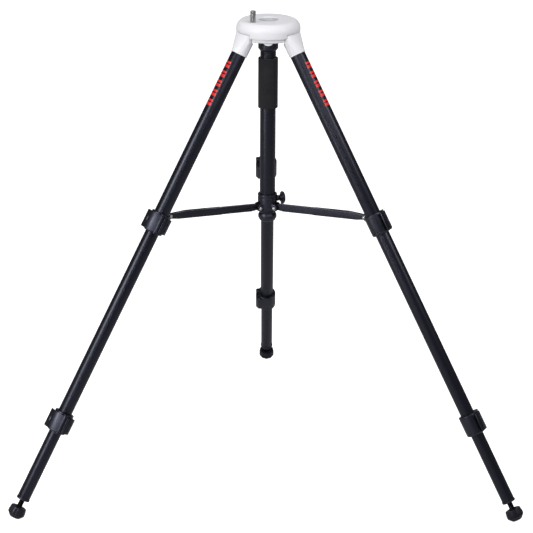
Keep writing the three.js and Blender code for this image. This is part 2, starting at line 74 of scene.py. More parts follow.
# ---- Dimensions, as in the CAD model ----
HEAD_TOP = 1096.6
HEAD_RADIUS = 73.5
HEAD_FLAT_RADIUS = 56
HEAD_EDGE_DROP = 20
HEAD_SEAM = 1072.5
HEAD_SKIRT = 1063.4
HEAD_WALL = 6
BASE_BOTTOM = 1054
BASE_RADIUS = HEAD_RADIUS - HEAD_WALL - 0.4
RECESS_RADIUS = 22
RECESS_DEPTH = 12
PEG_RADIUS = 6.2
PEG_HEIGHT = 26.4
PEG_OFFSET = 49
PEG_AZIMUTH = 225
PEG_SOCKET_DEPTH = 9
BOSS_HALF_WIDTH = 9.8
BOSS_DEPTH = 5.2
BOSS_LENGTH = 12
BOSS_OFFSET = 57
HINGE_HEIGHT = 1064
HINGE_OFFSET = 53.6
HINGE_PIN_RADIUS = 4
EYE_RADIUS = 8
KNUCKLE_WIDTH = 59.8
KNUCKLE_DROP = 12
KNUCKLE_ROUND = 1.8
KNUCKLE_CLEARANCE = 0.15   # on each side of a knuckle, besides the common gap
SEAM_LINE = 0.9            # how far a knuckle's edges stand back from the head, to show the joint
SLEEVE_RADIUS = 19.4
SLEEVE_END = 47.3
UPPER_RADIUS = 17.6
MIDDLE_RADIUS = 16.2
LOWER_RADIUS = 14.8
TUBE_WALL = 1.0
UPPER_TUBE = (15, 482)
MIDDLE_TUBE = (433, 990)
LOWER_TUBE = (676, 1176)
LOCK_UPPER = 472.7
LOCK_LOWER = 981.2
LOCK_LENGTH = 49
LOCK_RADIUS = 22.6
LEVER_LENGTH = 42
LEVER_PIVOT = (9, 24.8)
LEVER_EYE = 3.8
LEVER_STUB = 2
SCREW_SEAT_RADIUS = 3.1
SCREW_SEAT_HEIGHTS = (-9, 6)
END_CAP = (1149, 1181)
END_CAP_LIP = 15.8
STEM = (1160, 1203)
STEM_RADIUS = 6.3
FOOT_CENTRE = 1213
FOOT_RADIUS = 20
COLUMN_RADIUS = 18.05
COLUMN_WALL = 1.6
COLUMN_ENDS = (620, 1053.2)
COLLAR_RADIUS = 23
COLLAR_BOTTOM = 1026.8
GRIP_ENDS = (889.5, 1006.7)
GRIP_RADIUS = 22.9
COLUMN_CAP = (615, 634.5)
COLUMN_CAP_RADIUS = 21.6
HUB_ENDS = (643, 681.5)
HUB_EAR_HALF = 12
HUB_RADIUS = 22.5
HUB_PIVOT = (24, 649.6)
HUB_EAR_ROUND = 6.6
HUB_SLOT_RISE = 16         # how far the arm's slot goes above the pivot
PIVOT_PIN_RADIUS = 2.5
RIVET_RADIUS = 4.4
ARM_TOP = 10
ARM_BOTTOM = 5
ARM_BELLY = 7.6
ARM_WIDTH = 10
ARM_SLOT = 6.8
TONGUE_WIDTH = 6
TONGUE_LENGTH = 140
FORK_START = 100
FORK_RISE = 38             # the length over which the fork's top slopes down to its eye
INNER_EYE = ARM_BOTTOM - 0.7
OUTER_EYE = ARM_BOTTOM + 0.6
KNOB_AZIMUTH = 12
KNOB_HEIGHT = 668
KNOB_RADIUS = 15.5
KNOB_ENDS = (29.5, 41.5)
GAP = 0.35

# The plain marks on the outer face of each upper tube.
MARK_START = 71
MARK_COUNT = 5
MARK_SPACING = 23.6
MARK_BARS = ((0, 5), (8, 15))
MARK_HALF_ANGLE = math.radians(35)


# ---- Frames of reference ----
def joint(name):
    return next(j for j in frame["joints"] if j["name"] == name)


def axes_matrix(origin, x_axis, y_axis, z_axis):
    matrix = Matrix.Identity(4)
    for column, axis in enumerate((x_axis, y_axis, z_axis)):
        for row in range(3):
            matrix[row][column] = axis[row]
    matrix.translation = origin
    return matrix


FLOOR_TO_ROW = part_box("head_plate")[1].z - HEAD_TOP * MM
COLUMN_FRAME = Matrix.Translation((0, 0, FLOOR_TO_ROW))


def leg_frame(side):
    """The leg's own frame: hinge at the origin, +Z up the leg."""
    fold = joint(f"leg_fold_{side}")
    down = Vector(joint(f"middle_slide_{side}")["axis"]).normalized()
    sideways = Vector(fold["axis"]).normalized()
    return axes_matrix(Vector(fold["pos_m"]), sideways.cross(-down), sideways, -down)


def leg_azimuth(side):
    position = Vector(joint(f"leg_fold_{side}")["pos_m"])
    return math.atan2(position.y, position.x)


def leg_angle():
    """The angle between a leg and the vertical."""
    down = Vector(joint("middle_slide_rear")["axis"]).normalized()
    return math.acos(-down.z)


def arm_frame(side):
    """The arm's frame: inner pivot at the origin, +X towards the outer pivot."""
    inner = Vector(joint(f"tongue_turn_{side}")["pos_m"])
    outer = Vector(joint(f"fork_turn_{side}")["pos_m"])
    sideways = Vector(joint(f"fork_turn_{side}")["axis"]).normalized()
    along = (outer - inner).normalized()
    return axes_matrix(inner, along, sideways, along.cross(sideways))


def arm_length():
    inner = Vector(joint("tongue_turn_rear")["pos_m"])
    outer = Vector(joint("fork_turn_rear")["pos_m"])
    return (outer - inner).length / MM


def azimuth_frame(azimuth):
    return COLUMN_FRAME @ Matrix.Rotation(azimuth, 4, "Z")


# ---- Mesh helpers ----
def rounded(points, closed=True, steps=5):
    """Replaces each (x, y, radius) corner by an arc. A corner without a radius stays sharp."""
    result = []
    count = len(points)
    for index, point in enumerate(points):
        here = Vector(point[:2])
        radius = point[2] if len(point) > 2 else 0
        is_end = not closed and index in (0, count - 1)
        if radius == 0 or is_end:
            result.append(here)
            continue
        before = Vector(points[index - 1][:2]) - here
        after = Vector(points[(index + 1) % count][:2]) - here
        half_angle = before.angle(after) / 2
        reach = min(radius / math.tan(half_angle), before.length * 0.48, after.length * 0.48)
        start = here + before.normalized() * reach
        end = here + after.normalized() * reach
        for step in range(steps + 1):
            t = step / steps
            curve = start * (1 - t) ** 2 + here * (2 * t * (1 - t)) + end * t ** 2
            result.append(curve)
    return result


def finish_mesh(bm, name, sharp_degrees=38):
    """Turns a bmesh in millimetres into an object in metres, with clean normals."""
    bmesh.ops.recalc_face_normals(bm, faces=bm.faces)
    bmesh.ops.scale(bm, vec=(MM, MM, MM), verts=bm.verts)
    mesh = bpy.data.meshes.new(name)
    bm.to_mesh(mesh)
    bm.free()
    obj = bpy.data.objects.new(name, mesh)
    bpy.context.scene.collection.objects.link(obj)
    shade(obj, sharp_degrees)
    return obj


def shade(obj, sharp_degrees=38):
    """Smooth shading, with edges sharper than the angle kept crisp."""
    bm = bmesh.new()
    bm.from_mesh(obj.data)
    limit = math.radians(sharp_degrees)
    for face in bm.faces:
        face.smooth = True
    for edge in bm.edges:
        edge.smooth = not (edge.is_manifold and edge.calc_face_angle(0) > limit)
    bm.to_mesh(obj.data)
    bm.free()


def turned(name, profile, sides=FINE, closed=False, steps=5, shape=None):
    """A turned solid about Z. An open profile starts and ends on the axis. The optional
    shape(angle, height, radius) gives a factor on the radius, for lobes and flats."""
    outline = rounded(profile, closed=closed, steps=steps)
    bm = bmesh.new()
    rings = []
    for point in outline:
        if abs(point.x) < 1e-6:
            rings.append([bm.verts.new((0, 0, point.y))])
            continue
        ring = []
        for index in range(sides):
            angle = 2 * math.pi * index / sides
            radius = point.x * (shape(angle, point.y, point.x) if shape else 1)
            ring.append(bm.verts.new((radius * math.cos(angle), radius * math.sin(angle), point.y)))
        rings.append(ring)
    pairs = list(zip(rings, rings[1:]))
    if closed:
        pairs.append((rings[-1], rings[0]))
    for first, second in pairs:
        join_rings(bm, first, second, sides)
    return finish_mesh(bm, name)


def join_rings(bm, first, second, sides):
    if len(first) == 1 and len(second) == 1:
        return
    for index in range(sides):
        after = (index + 1) % sides
        if len(first) == 1:
            bm.faces.new((first[0], second[index], second[after]))
        elif len(second) == 1:
            bm.faces.new((first[index], second[0], first[after]))
        else:
            bm.faces.new((first[index], second[index], second[after], first[after]))


def tube(name, inner, outer, low, high):
    edge = 0.3
    profile = [(inner, low), (outer, low, edge), (outer, high, edge), (inner, high)]
    return turned(name, profile, closed=True, steps=3)


def prism(name, points, low, high, steps=5):
    """An outline in XY, filled and raised from low to high."""
    outline = rounded(points, steps=steps)
    bm = bmesh.new()
    bottom = [bm.verts.new((p.x, p.y, low)) for p in outline]
    top = [bm.verts.new((p.x, p.y, high)) for p in outline]
    bm.faces.new(bottom)
    bm.faces.new(top)
    count = len(outline)
    for index in range(count):
        after = (index + 1) % count
        bm.faces.new((bottom[index], bottom[after], top[after], top[index]))
    return finish_mesh(bm, name)


def standing_prism(name, points, width, steps=5):
    """An outline whose y becomes Z, centred on Y."""
    obj = prism(name, points, -width / 2, width / 2, steps)
    obj.data.transform(Matrix.Rotation(math.radians(90), 4, "X"))
    return obj


def block(name, lows, highs):
    x0, y0, z0 = lows
    x1, y1, z1 = highs
    return prism(name, [(x0, y0), (x1, y0), (x1, y1), (x0, y1)], z0, z1)


def rod(name, radius, low, high, sides=48, edge=0.0):
    profile = [(0, low), (radius, low, edge), (radius, high, edge), (0, high)]
    return turned(name, profile, sides, steps=3)


def cross_rod(name, radius, low, high, x, z, sides=48, edge=0.0):
    """A rod along Y, at the given X and Z."""
    obj = rod(name, radius, low, high, sides, edge)
    obj.data.transform(Matrix.Rotation(math.radians(-90), 4, "X"))
    return moved(obj, (x, 0, z))


def moved(obj, offset):
    obj.data.transform(Matrix.Translation(Vector(offset) * MM))
    return obj


def turned_by(obj, degrees, axis="Z"):
    obj.data.transform(Matrix.Rotation(math.radians(degrees), 4, axis))
    return obj


def apply_modifiers(obj):
    bpy.context.view_layer.update()
    graph = bpy.context.evaluated_depsgraph_get()
    mesh = bpy.data.meshes.new_from_object(obj.evaluated_get(graph))
    obj.modifiers.clear()
    obj.data = mesh
    return obj


def combine(obj, others, operation):
    """Joins or cuts closed meshes. The other meshes are used up."""
    for other in others:
        modifier = obj.modifiers.new("combine", "BOOLEAN")
        modifier.operation = operation
        modifier.solver = "EXACT"
        modifier.object = other
        apply_modifiers(obj)
        bpy.data.objects.remove(other)
    return obj


def union(obj, *others):
    return combine(obj, others, "UNION")


def cut(obj, *others):
    return combine(obj, others, "DIFFERENCE")


def soften(obj, width, segments=3, angle=35):
    """Rounds the sharp edges of a finished shape."""
    modifier = obj.modifiers.new("soften", "BEVEL")
    modifier.width = width * MM
    modifier.segments = segments
    modifier.limit_method = "ANGLE"
    modifier.angle_limit = math.radians(angle)
    modifier.use_clamp_overlap = True
    apply_modifiers(obj)
    shade(obj)
    return obj


def place(obj, matrix, body, slot, material, *replaced):
    """Puts a finished piece in its frame, on its body, in place of the CAD nodes it shows."""
    obj.matrix_world = matrix
    obj.data.materials.clear()
    obj.data.materials.append(material)
    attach(obj, body)
    if replaced:
        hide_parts(*replaced)


def second_paint(obj, material, chosen):
    """Gives the faces that chosen(face) picks another material."""
    obj.data.materials.append(material)
    for face in obj.data.polygons:
        if chosen(face):
            face.material_index = 1


# ---- Materials ----
NOISE_ROUGHNESS = 0.55


class Nodes:
    """A small helper that wires a material's nodes."""

    def __init__(self, name):
        self.material = bpy.data.materials.new(name)
        self.material.use_nodes = True
        self.tree = self.material.node_tree
        self.shader = self.tree.nodes["Principled BSDF"]
        self.coordinates = self.tree.nodes.new("ShaderNodeTexCoord").outputs["Object"]

    def node(self, kind):
        return self.tree.nodes.new(kind)

    def link(self, source, target):
        self.tree.links.new(source, target)

    def stretched(self, scale):
        mapping = self.node("ShaderNodeMapping")
        mapping.inputs["Scale"].default_value = scale
        self.link(self.coordinates, mapping.inputs["Vector"])
        return mapping.outputs["Vector"]

    def noise(self, scale, detail=3, stretch=None):
        noise = self.node("ShaderNodeTexNoise")
        noise.inputs["Scale"].default_value = scale
        noise.inputs["Detail"].default_value = detail
        noise.inputs["Roughness"].default_value = NOISE_ROUGHNESS
        vector = self.stretched(stretch) if stretch else self.coordinates
        self.link(vector, noise.inputs["Vector"])
        return noise.outputs["Fac"]

    def cells(self, scale):
        cells = self.node("ShaderNodeTexVoronoi")
        cells.inputs["Scale"].default_value = scale
        self.link(self.coordinates, cells.inputs["Vector"])
        return cells.outputs["Distance"]

    def spread(self, source, low, high):
        """Maps a 0.3 to 0.7 texture onto a range."""
        mapped = self.node("ShaderNodeMapRange")
        mapped.inputs["From Min"].default_value = 0.3
        mapped.inputs["From Max"].default_value = 0.7
        mapped.inputs["To Min"].default_value = low
        mapped.inputs["To Max"].default_value = high
        self.link(source, mapped.inputs["Value"])
        return mapped.outputs["Result"]

    def colours(self, source, first, second):
        ramp = self.node("ShaderNodeValToRGB")
        ramp.color_ramp.elements[0].position = 0.35
        ramp.color_ramp.elements[1].position = 0.65
        ramp.color_ramp.elements[0].color = (*first, 1)
        ramp.color_ramp.elements[1].color = (*second, 1)
        self.link(source, ramp.inputs["Fac"])
        self.link(ramp.outputs["Color"], self.shader.inputs["Base Color"])

    def bump(self, source, strength, distance):
        bump = self.node("ShaderNodeBump")
        bump.inputs["Strength"].default_value = strength
        bump.inputs["Distance"].default_value = distance
        self.link(source, bump.inputs["Height"])
        previous = self.shader.inputs["Normal"].links
        if previous:
            self.link(previous[0].from_socket, bump.inputs["Normal"])
        self.link(bump.outputs["Normal"], self.shader.inputs["Normal"])

    def set(self, **values):
        for key, value in values.items():
            self.shader.inputs[key.replace("_", " ")].default_value = value


def white_paint(name="white_paint", tint=(0.67, 0.67, 0.70)):
    """Satin gloss powder paint on a casting, with a faint orange peel."""
    m = Nodes(name)
    lighter = tuple(channel * 1.035 for channel in tint)
    m.colours(m.noise(9, detail=2), tint, lighter)
    m.link(m.spread(m.noise(60), 0.46, 0.56), m.shader.inputs["Roughness"])
    m.bump(m.noise(420, detail=2), 0.25, 0.00012)
    m.set(Specular_IOR_Level=0.4, Coat_Weight=0.1, Coat_Roughness=0.25)
    return m.material


def anodised(name="black_anodised", tint=(0.0026, 0.0026, 0.0058)):
    """Black anodised tube with a fine drawn grain along its length."""
    m = Nodes(name)
    lighter = tuple(channel * 1.35 for channel in tint)
    m.colours(m.noise(14, detail=4), tint, lighter)
    m.link(m.spread(m.noise(90, detail=4, stretch=(9, 9, 0.35)), 0.33, 0.37),
           m.shader.inputs["Roughness"])
    m.bump(m.noise(150, detail=3, stretch=(12, 12, 0.2)), 0.04, 0.00003)
    m.bump(m.noise(2600, detail=1), 0.08, 0.00001)
    m.set(Specular_IOR_Level=0.5, Specular_Tint=(0.78, 0.81, 1.0, 1.0))
    return m.material


def moulded(name="moulded_plastic", tint=(0.0018, 0.0018, 0.0034), roughness=(0.37, 0.4)):
    """Black moulded plastic with a fine sparked texture."""
    m = Nodes(name)
    lighter = tuple(channel * 1.5 for channel in tint)
    m.colours(m.noise(22), tint, lighter)
    m.link(m.spread(m.noise(130), *roughness), m.shader.inputs["Roughness"])
    m.bump(m.noise(1500, detail=2), 0.06, 0.00002)
    m.set(Specular_IOR_Level=0.75, Specular_Tint=(0.74, 0.77, 1.0, 1.0))
    return m.material


def foam():
    """Closed-cell foam: matte, with small pores."""
    m = Nodes("grip_foam")
    m.colours(m.noise(30), (0.0085, 0.0082, 0.0105), (0.013, 0.0126, 0.0155))
    m.link(m.spread(m.noise(200), 0.86, 0.97), m.shader.inputs["Roughness"])
    m.bump(m.cells(900), 0.5, 0.00022)
    m.bump(m.noise(260), 0.35, 0.0003)
    m.set(Specular_IOR_Level=0.25, Sheen_Weight=0.08, Sheen_Roughness=0.6)
    return m.material


def steel(name="turned_steel", tint=(0.56, 0.56, 0.57), roughness=(0.16, 0.3)):
    """Bright turned steel with fine lathe lines."""
    m = Nodes(name)
    darker = tuple(channel * 0.88 for channel in tint)
    m.colours(m.noise(40), darker, tint)
    m.link(m.spread(m.noise(300, stretch=(0.4, 0.4, 12)), *roughness),
           m.shader.inputs["Roughness"])
    m.bump(m.noise(400, stretch=(0.3, 0.3, 10)), 0.1, 0.00003)
    m.set(Metallic=1.0)
    return m.material


def rubber():
    """Moulded rubber, matte, slightly dusty."""
    m = Nodes("foot_rubber")
    m.colours(m.noise(45), (0.0028, 0.0028, 0.0048), (0.0055, 0.0055, 0.008))
    m.link(m.spread(m.noise(180), 0.38, 0.5), m.shader.inputs["Roughness"])
    m.bump(m.noise(1100, detail=2), 0.25, 0.00005)
    m.set(Specular_IOR_Level=0.45, Specular_Tint=(0.76, 0.79, 1.0, 1.0))
    return m.material


def red_print():
    """Thin red ink on the tube."""
    m = Nodes("red_print")
    m.colours(m.noise(120), (0.56, 0.007, 0.004), (0.66, 0.009, 0.005))
    m.link(m.spread(m.noise(300), 0.36, 0.46), m.shader.inputs["Roughness"])
    m.set(Specular_IOR_Level=0.5)
    return m.material


WHITE = white_paint()
# a greyer white for the recess floor and wall: painted shade
RECESS_PAINTED_SHADE = white_paint("recess_painted_shade", (0.5, 0.51, 0.53))
ANODISED = anodised()
ANODISED_BAR = anodised("black_bar", (0.005, 0.005, 0.009))
# a paler black for the arms' upward faces: painted highlight
TOP_HIGHLIGHT_BAR = anodised("black_bar_painted_highlight", (0.07, 0.07, 0.085))
PLASTIC = moulded()
FOAM = foam()
STEEL = steel()
RUBBER = rubber()
PEG_STEEL = steel("polished_steel", (0.5, 0.49, 0.5), (0.2, 0.27))
RED = red_print()
DARK_STEEL = steel("blackened_steel", (0.014, 0.014, 0.017), (0.3, 0.4))


# ---- Head ----
def knuckle_slots(top):
    """The three slots in the head that the leg knuckles turn in."""
    half = KNUCKLE_WIDTH / 2 + GAP + KNUCKLE_CLEARANCE
    back = HINGE_OFFSET - EYE_RADIUS - 1
    slots = []
    for side in SIDES:
        slot = block("slot", (back, -half, BASE_BOTTOM - 1), (90, half, top))
        slots.append(turned_by(slot, math.degrees(leg_azimuth(side))))
    return slots


def make_head_plate():
    wall = HEAD_RADIUS - HEAD_WALL
    floor = HEAD_TOP - RECESS_DEPTH
    profile = [
        (0, HEAD_SEAM), (wall, HEAD_SEAM), (wall, HEAD_SKIRT),
        (HEAD_RADIUS - 0.8, HEAD_SKIRT, 1.6), (HEAD_RADIUS, HEAD_TOP - HEAD_EDGE_DROP),
    ]
    steps = 14
    for step in range(1, steps):
        turn = step / steps * math.pi / 2
        radius = HEAD_FLAT_RADIUS + (HEAD_RADIUS - HEAD_FLAT_RADIUS) * math.cos(turn)
        profile.append((radius, HEAD_TOP - HEAD_EDGE_DROP * (1 - math.sin(turn))))
    profile += [
        (HEAD_FLAT_RADIUS, HEAD_TOP), (RECESS_RADIUS + 1.6, HEAD_TOP, 1.8),
        (RECESS_RADIUS, HEAD_TOP - 2, 1), (RECESS_RADIUS, floor, 1.2), (0, floor),
    ]
    plate = turned("head_plate_casting", profile, sides=144)
    socket = rod("socket", PEG_RADIUS + GAP, HEAD_TOP - PEG_SOCKET_DEPTH, HEAD_TOP + 1)
    moved(socket, (PEG_OFFSET, 0, 0))
    cut(plate, turned_by(socket, PEG_AZIMUTH), *knuckle_slots(HEAD_SEAM))
    soften(plate, 0.6)

    # faces inside the recess get the greyer paint: painted shade
    def in_recess(face):
        centre = face.center / MM
        return math.hypot(centre.x, centre.y) < RECESS_RADIUS + 0.6 and centre.z < HEAD_TOP - 0.4

    place(plate, COLUMN_FRAME, "root", "white_casting", WHITE, "head_plate")
    second_paint(plate, RECESS_PAINTED_SHADE, in_recess)


def make_head_base():
    top = HEAD_SEAM - GAP
    profile = [
        (0, BASE_BOTTOM), (BASE_RADIUS - 2, BASE_BOTTOM, 3), (BASE_RADIUS, BASE_BOTTOM + 3, 2),
        (BASE_RADIUS, top, 0.4), (0, top),
    ]
    base = turned("head_base_casting", profile, sides=144)
    cut(base, *knuckle_slots(HEAD_SEAM + 1))
    soften(base, 0.7)
    place(base, COLUMN_FRAME, "root", "white_casting", WHITE, "head_base")


def make_base_boss():
    """The half-round boss under the front of the head."""
    outline = [(-BOSS_HALF_WIDTH, 0)]
    steps = 18
    for step in range(1, steps):
        turn = math.pi * step / steps
        outline.append((-BOSS_HALF_WIDTH * math.cos(turn), -BOSS_DEPTH * math.sin(turn)))
    outline.append((BOSS_HALF_WIDTH, 0))
    boss = standing_prism("base_boss_casting", outline, BOSS_LENGTH)
    soften(boss, 0.8, segments=3, angle=50)
    moved(boss, (0, -BOSS_OFFSET, BASE_BOTTOM - GAP))
    place(boss, COLUMN_FRAME, "root", "white_casting", WHITE, "base_boss")


def make_peg():
    low = HEAD_TOP - PEG_SOCKET_DEPTH + GAP
    high = HEAD_TOP + PEG_HEIGHT
    profile = [
        (0, low), (PEG_RADIUS, low), (PEG_RADIUS, high - 0.2, 1.2), (PEG_RADIUS - 1.2, high, 0.3),
        (0, high),
    ]
    peg = moved(turned("azimuth_peg_steel", profile, sides=64), (PEG_OFFSET, 0, 0))
    matrix = azimuth_frame(math.radians(PEG_AZIMUTH))
    place(peg, matrix, "root", "steel", PEG_STEEL, "azimuth_peg")


# ---- Centre column ----
def make_column():
    column = tube("column_pipe", COLUMN_RADIUS - COLUMN_WALL, COLUMN_RADIUS, *COLUMN_ENDS)
    place(column, COLUMN_FRAME, "root", "black_aluminium", ANODISED, "column_tube")


def make_collar():
    """The collar that joins the column to the head, with one fine groove."""
    inner = COLUMN_RADIUS + GAP
    groove_floor = COLLAR_RADIUS - 0.6
    profile = [
        (inner, COLLAR_BOTTOM - 2), (inner + 0.8, COLLAR_BOTTOM - 2, 0.4),
        (COLLAR_RADIUS, COLLAR_BOTTOM + 2.6, 1.6), (COLLAR_RADIUS, COLLAR_BOTTOM + 12, 0.4),
        (groove_floor, COLLAR_BOTTOM + 12.7, 0.3), (groove_floor, COLLAR_BOTTOM + 13.9, 0.3),
        (COLLAR_RADIUS, COLLAR_BOTTOM + 14.6, 0.4), (COLLAR_RADIUS, BASE_BOTTOM - GAP, 0.5),
        (inner, BASE_BOTTOM - GAP),
    ]
    collar = turned("column_collar_ring", profile, closed=True, steps=3)
    place(collar, COLUMN_FRAME, "root", "black_plastic", PLASTIC, "column_collar")


def make_column_cap():
    low, high = COLUMN_CAP
    inner = COLUMN_RADIUS + GAP
    profile = [
        (0, low), (15.5, low, 1.5), (18.2, low + 2.2, 2),
        (COLUMN_CAP_RADIUS, low + 9, 1.6), (COLUMN_CAP_RADIUS, high - 4.5, 1.6),
        (inner + 0.8, high, 0.8), (inner, high),
        (inner, COLUMN_ENDS[0] - GAP), (0, COLUMN_ENDS[0] - GAP),
    ]
    cap = turned("column_cap_plug", profile)
    place(cap, COLUMN_FRAME, "root", "black_plastic", PLASTIC, "column_cap")


def make_grip():
    """The foam sleeve: rounded ends and a surface that is never quite straight."""
    low, high = GRIP_ENDS
    inner = COLUMN_RADIUS + GAP
    rings = 40
    profile = [(inner, low), (GRIP_RADIUS, low, 3.2)]
    for index in range(1, rings):
        profile.append((GRIP_RADIUS, low + (high - low) * index / rings))
    profile += [(GRIP_RADIUS, high, 3.2), (inner, high)]

    def pressed(angle, height, radius):
        if radius < GRIP_RADIUS - 0.01:
            return 1
        wave = math.sin(height * 0.11 + 0.8) * math.sin(3 * angle + height * 0.05)
        return 1 - 0.0035 * (1 + wave)

    grip = turned("column_grip_foam", profile, closed=True, shape=pressed)
    place(grip, COLUMN_FRAME, "root", "foam", FOAM, "column_grip")


# ---- Spreader ----
def make_hub():
    """The sliding hub: a ring with three pairs of ears for the arms and a boss for the knob."""
    low, high = HUB_ENDS
    inner = COLUMN_RADIUS + GAP
    waist = HUB_RADIUS - 1.4
    step = HUB_PIVOT[1] + 8
    groove_floor = HUB_RADIUS - 0.8
    profile = [
        (inner, low), (inner + 0.8, low, 0.3), (waist, low + 6.5, 2), (waist, step - 1, 0.5),
        (HUB_RADIUS, step + 1, 0.6), (HUB_RADIUS, high - 9, 0.3), (groove_floor, high - 8.2, 0.3),
        (groove_floor, high - 7, 0.3), (HUB_RADIUS, high - 6.2, 0.3), (HUB_RADIUS, high, 1.4),
        (inner, high),
    ]
    hub = turned("spreader_hub_body", profile, closed=True, steps=3)
    cutters = [rod("bore", inner, low - 1, high + 1, sides=FINE)]
    radius, height = HUB_PIVOT
    ear_end = radius + HUB_EAR_ROUND
    ear_bottom = height - HUB_EAR_ROUND
    outline = [
        (inner - 3, ear_bottom), (ear_end, ear_bottom, HUB_EAR_ROUND), (ear_end, height + 4, 3),
        (radius + 2, height + 10, 4), (radius - 4, height + 11, 3), (inner - 3, height + 11),
    ]
    half_slot = ARM_SLOT / 2
    for side in SIDES:
        azimuth = math.degrees(leg_azimuth(side))
        ear = standing_prism("ear", outline, 2 * HUB_EAR_HALF, steps=8)
        soften(ear, 1.8, segments=4, angle=50)
        union(hub, turned_by(ear, azimuth))
        slot = block("slot", (COLUMN_RADIUS + 0.8, -half_slot, low - 1),
                     (50, half_slot, height + HUB_SLOT_RISE))
        cutters.append(turned_by(slot, azimuth))
        hole = cross_rod("hole", PIVOT_PIN_RADIUS + 0.1, -20, 20, radius, height)
        cutters.append(turned_by(hole, azimuth))
    boss_end = KNOB_ENDS[0] - GAP
    boss_profile = [
        (0, inner + 1), (7.5, inner + 1), (7, HUB_RADIUS + 1, 2), (6, boss_end, 0.6), (0, boss_end),
    ]
    boss = turned_by(turned("boss", boss_profile, sides=48), 90, "Y")
    union(hub, turned_by(moved(boss, (0, 0, KNOB_HEIGHT)), KNOB_AZIMUTH))
    cut(hub, *cutters)
    soften(hub, 0.5, segments=2)
    place(hub, COLUMN_FRAME, "hub", "black_plastic", PLASTIC, "spreader_hub")


def make_knob():
    """A six-lobed locking knob. Its outline swells and narrows round its axis."""
    low, high = KNOB_ENDS

    def lobes(angle, height, radius):
        share = max(0.0, min(1.0, (radius - 8) / (KNOB_RADIUS - 8)))
        dip = (0.5 - 0.5 * math.cos(6 * angle)) ** 2
        return 1 - 0.13 * share * dip

    profile = [
        (0, low), (8, low, 1), (8.5, low + 3, 1), (KNOB_RADIUS, low + 3.2, 1.2),
        (KNOB_RADIUS, high - 5, 2.6), (KNOB_RADIUS - 2, high - 1.8, 2), (KNOB_RADIUS - 6, high, 1.5),
        (6, high - 0.4, 0.5), (5, high - 1.4, 0.5), (0, high - 1.4),
    ]
    knob = turned("hub_knob_grip", profile, sides=144, shape=lobes, steps=6)
    turned_by(knob, 90, "Y")
    moved(knob, (0, 0, KNOB_HEIGHT))
    place(knob, azimuth_frame(math.radians(KNOB_AZIMUTH)), "knob", "black_plastic", PLASTIC, "hub_knob")


def rivet(name, half):
    """A pivot pin along Y with a domed head at each end."""
    head = 1.8
    profile = [
        (0, -half - head), (RIVET_RADIUS * 0.55, -half - head * 0.92, 1), (RIVET_RADIUS, -half, 1),
        (RIVET_RADIUS, -half + 0.01), (PIVOT_PIN_RADIUS, -half + 0.02), (PIVOT_PIN_RADIUS, half - 0.02),
        (RIVET_RADIUS, half - 0.01), (RIVET_RADIUS, half, 1),
        (RIVET_RADIUS * 0.55, half + head * 0.92, 1), (0, half + head),
    ]
    return turned_by(turned(name, profile, sides=40), -90, "X")


def paint_top_highlight(arm):
    """The upward faces of an arm are painted paler: a painted highlight along their tops."""
    second_paint(arm, TOP_HIGHLIGHT_BAR, lambda face: face.normal.z > 0.2)


def make_tongue(side):
    """The inner part of an arm, from the hub."""
    eye = INNER_EYE
    outline = [
        (-eye, eye * 0.6, eye), (-eye, -eye, eye), (0, -eye, 4), (20, -ARM_BELLY, 10),
        (TONGUE_LENGTH, -ARM_BELLY, 1), (TONGUE_LENGTH, ARM_TOP, 1), (9, ARM_TOP, 3), (2, eye, 2),
    ]
    tongue = standing_prism(f"arm_tongue_{side}_bar", outline, TONGUE_WIDTH, steps=6)
    cut(tongue, cross_rod("hole", PIVOT_PIN_RADIUS + GAP, -10, 10, 0, 0))
    soften(tongue, 2.2, segments=5, angle=45)
    place(tongue, arm_frame(side), f"tongue_{side}", "black_aluminium", ANODISED_BAR,
          f"arm_tongue_{side}")
    paint_top_highlight(tongue)


def make_fork(side):
    """The outer part of an arm, slotted for the tongue and for the lug on the leg."""
    length = arm_length()
    eye = OUTER_EYE
    slope_start = length - FORK_RISE
    outline = [
        (FORK_START, -ARM_BELLY, 0.8), (length - 20, -ARM_BELLY, 10), (length, -eye, 4),
        (length + eye, -eye, eye), (length + eye, eye, eye), (length, eye, 8),
        (slope_start, ARM_TOP, 30), (FORK_START + 3, ARM_TOP, 1.5), (FORK_START, ARM_TOP - 3, 1.5),
    ]
    fork = standing_prism(f"arm_fork_{side}_bar", outline, ARM_WIDTH, steps=8)
    soften(fork, 3.2, segments=6, angle=60)
    half_slot = ARM_SLOT / 2
    cut(
        fork,
        block("slot", (FORK_START - 1, -half_slot, -20), (slope_start, half_slot, 20)),
        block("slot", (length - 16, -half_slot, -20), (length + 20, half_slot, 20)),
        cross_rod("hole", PIVOT_PIN_RADIUS + GAP, -10, 10, length, 0),
    )
    shade(fork)
    place(fork, arm_frame(side), f"fork_{side}", "black_aluminium", ANODISED_BAR, f"arm_fork_{side}")
    paint_top_highlight(fork)


def make_pivot_pins(side):
    inner = rivet(f"hub_pin_{side}_rivet", HUB_EAR_HALF + GAP)
    outer = rivet(f"lug_pin_{side}_rivet", ARM_WIDTH / 2 + GAP)
    inner_frame = arm_frame(side)
    outer_frame = inner_frame @ Matrix.Translation((arm_length() * MM, 0, 0))
    place(inner, inner_frame, "hub", "steel", STEEL, f"hub_pin_{side}")
    place(outer, outer_frame, f"leg_{side}", "steel", STEEL, f"lug_pin_{side}")


